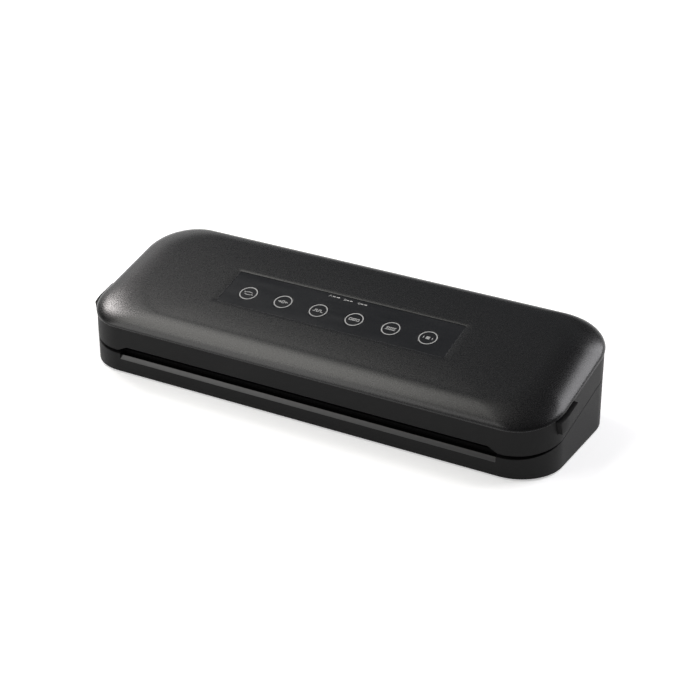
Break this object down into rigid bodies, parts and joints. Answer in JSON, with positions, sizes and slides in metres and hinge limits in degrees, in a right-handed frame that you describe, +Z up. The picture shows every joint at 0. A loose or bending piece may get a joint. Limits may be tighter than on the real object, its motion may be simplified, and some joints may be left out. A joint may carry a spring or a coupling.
{
  "type": "vacuum packing machine",
  "caption": "Wedge-shaped countertop vacuum packing machine: a domed rear-hinged lid with a key panel closes on a base with vacuum trough, seal bar and pump.",
  "frame": {"origin": "on the table under the middle of the machine's outline", "axes": "+X along the machine, -Y towards the bag slot at the front, +Z up"},
  "size_m": [0.3766, 0.122, 0.0717],
  "materials": {
    "shell": "fine-grained matt black moulding",
    "dome": "satin charcoal moulding with a fine pearl fleck",
    "release": "fine-grained matt black moulding",
    "film": "smooth printed film, satin",
    "rubber": "matt black rubber",
    "foam": "closed-cell foam",
    "press_rubber": "grey silicone rubber",
    "silicone": "translucent silicone",
    "clear_plastic": "milky moulded nylon",
    "inner_plastic": "moulded nylon, plain",
    "aluminium": "extruded",
    "steel": "plated",
    "core_steel": "varnished laminations",
    "ferrite": "sintered",
    "nichrome": "rolled strip",
    "brass": "plated brass",
    "copper": "enamelled copper winding",
    "tape": "coated glass cloth",
    "board": "solder mask",
    "component": "moulded electronic parts",
    "light_pipe": "clear light pipes",
    "wire": "PVC insulated bundle"
  },
  "bodies": {
    "base": {"base_housing": "shell", "bottom_cover": "shell", "rubber_feet": "rubber", "base_screws": "steel", "lower_gasket": "foam", "seal_bar": "aluminium", "heating_strip": "nichrome", "release_tape": "tape", "intake_nozzle": "clear_plastic", "pump_motor": "steel", "motor_magnets": "ferrite", "pump_housing": "inner_plastic", "pump_diaphragm": "rubber", "pump_head": "inner_plastic", "pump_screws": "steel", "suction_tube": "silicone", "vent_tube": "silicone", "air_valve": "inner_plastic", "transformer_core": "core_steel", "transformer_coil": "copper", "power_board": "board", "board_components": "component", "mains_inlet": "inner_plastic", "inlet_pins": "brass", "lid_switches": "inner_plastic", "base_harness": "wire"},
    "rotor": {"motor_rotor": "steel"},
    "plunger": {"valve_plunger": "steel"},
    "lid": {"lid_frame": "shell", "top_cover": "dome", "control_panel": "film", "indicator_lights": "light_pipe", "control_board": "board", "tact_switches": "component", "upper_gasket": "foam", "press_strip": "press_rubber", "release_spring_left": "steel", "release_spring_right": "steel", "hinge_pins": "steel", "lid_screws": "steel", "lid_harness": "wire"},
    "release_left": {"release_left": "release"},
    "release_right": {"release_right": "release"},
    "key_1": {"key_1": "film"},
    "key_2": {"key_2": "film"},
    "key_3": {"key_3": "film"},
    "key_4": {"key_4": "film"},
    "key_5": {"key_5": "film"},
    "key_6": {"key_6": "film"}
  },
  "joints": [
    {"name": "lid_hinge", "type": "hinge", "parent": "base", "child": "lid", "pos_m": [0, 0.055, 0.0449], "axis": [-1, 0, 0], "range_deg": [0, 65]},
    {"name": "release_left_slide", "type": "slide", "parent": "lid", "child": "release_left", "axis": [1, 0, 0], "range_m": [0, 0.0025], "stiffness_N_per_m": 300, "springref_m": -0.0015, "deforming": ["release_spring_left"]},
    {"name": "release_right_slide", "type": "slide", "parent": "lid", "child": "release_right", "axis": [-1, 0, 0], "range_m": [0, 0.0025], "stiffness_N_per_m": 300, "springref_m": -0.0015, "deforming": ["release_spring_right"]},
    {"name": "motor_spin", "type": "hinge", "parent": "base", "child": "rotor", "pos_m": [0.045, 0.034, 0.017], "axis": [1, 0, 0], "continuous": true},
    {"name": "valve_slide", "type": "slide", "parent": "base", "child": "plunger", "axis": [-1, 0, 0], "range_m": [0, 0.0015], "stiffness_N_per_m": 200, "springref_m": -0.001},
    {"name": "key_1_press", "type": "slide", "parent": "lid", "child": "key_1", "axis": [0, 0.258, -0.9662], "range_m": [0, 0.0004], "stiffness_N_per_m": 800, "springref_m": -0.0004},
    {"name": "key_2_press", "type": "slide", "parent": "lid", "child": "key_2", "axis": [0, 0.258, -0.9662], "range_m": [0, 0.0004], "stiffness_N_per_m": 800, "springref_m": -0.0004},
    {"name": "key_3_press", "type": "slide", "parent": "lid", "child": "key_3", "axis": [0, 0.258, -0.9662], "range_m": [0, 0.0004], "stiffness_N_per_m": 800, "springref_m": -0.0004},
    {"name": "key_4_press", "type": "slide", "parent": "lid", "child": "key_4", "axis": [0, 0.258, -0.9662], "range_m": [0, 0.0004], "stiffness_N_per_m": 800, "springref_m": -0.0004},
    {"name": "key_5_press", "type": "slide", "parent": "lid", "child": "key_5", "axis": [0, 0.258, -0.9662], "range_m": [0, 0.0004], "stiffness_N_per_m": 800, "springref_m": -0.0004},
    {"name": "key_6_press", "type": "slide", "parent": "lid", "child": "key_6", "axis": [0, 0.258, -0.9662], "range_m": [0, 0.0004], "stiffness_N_per_m": 800, "springref_m": -0.0004}
  ]
}
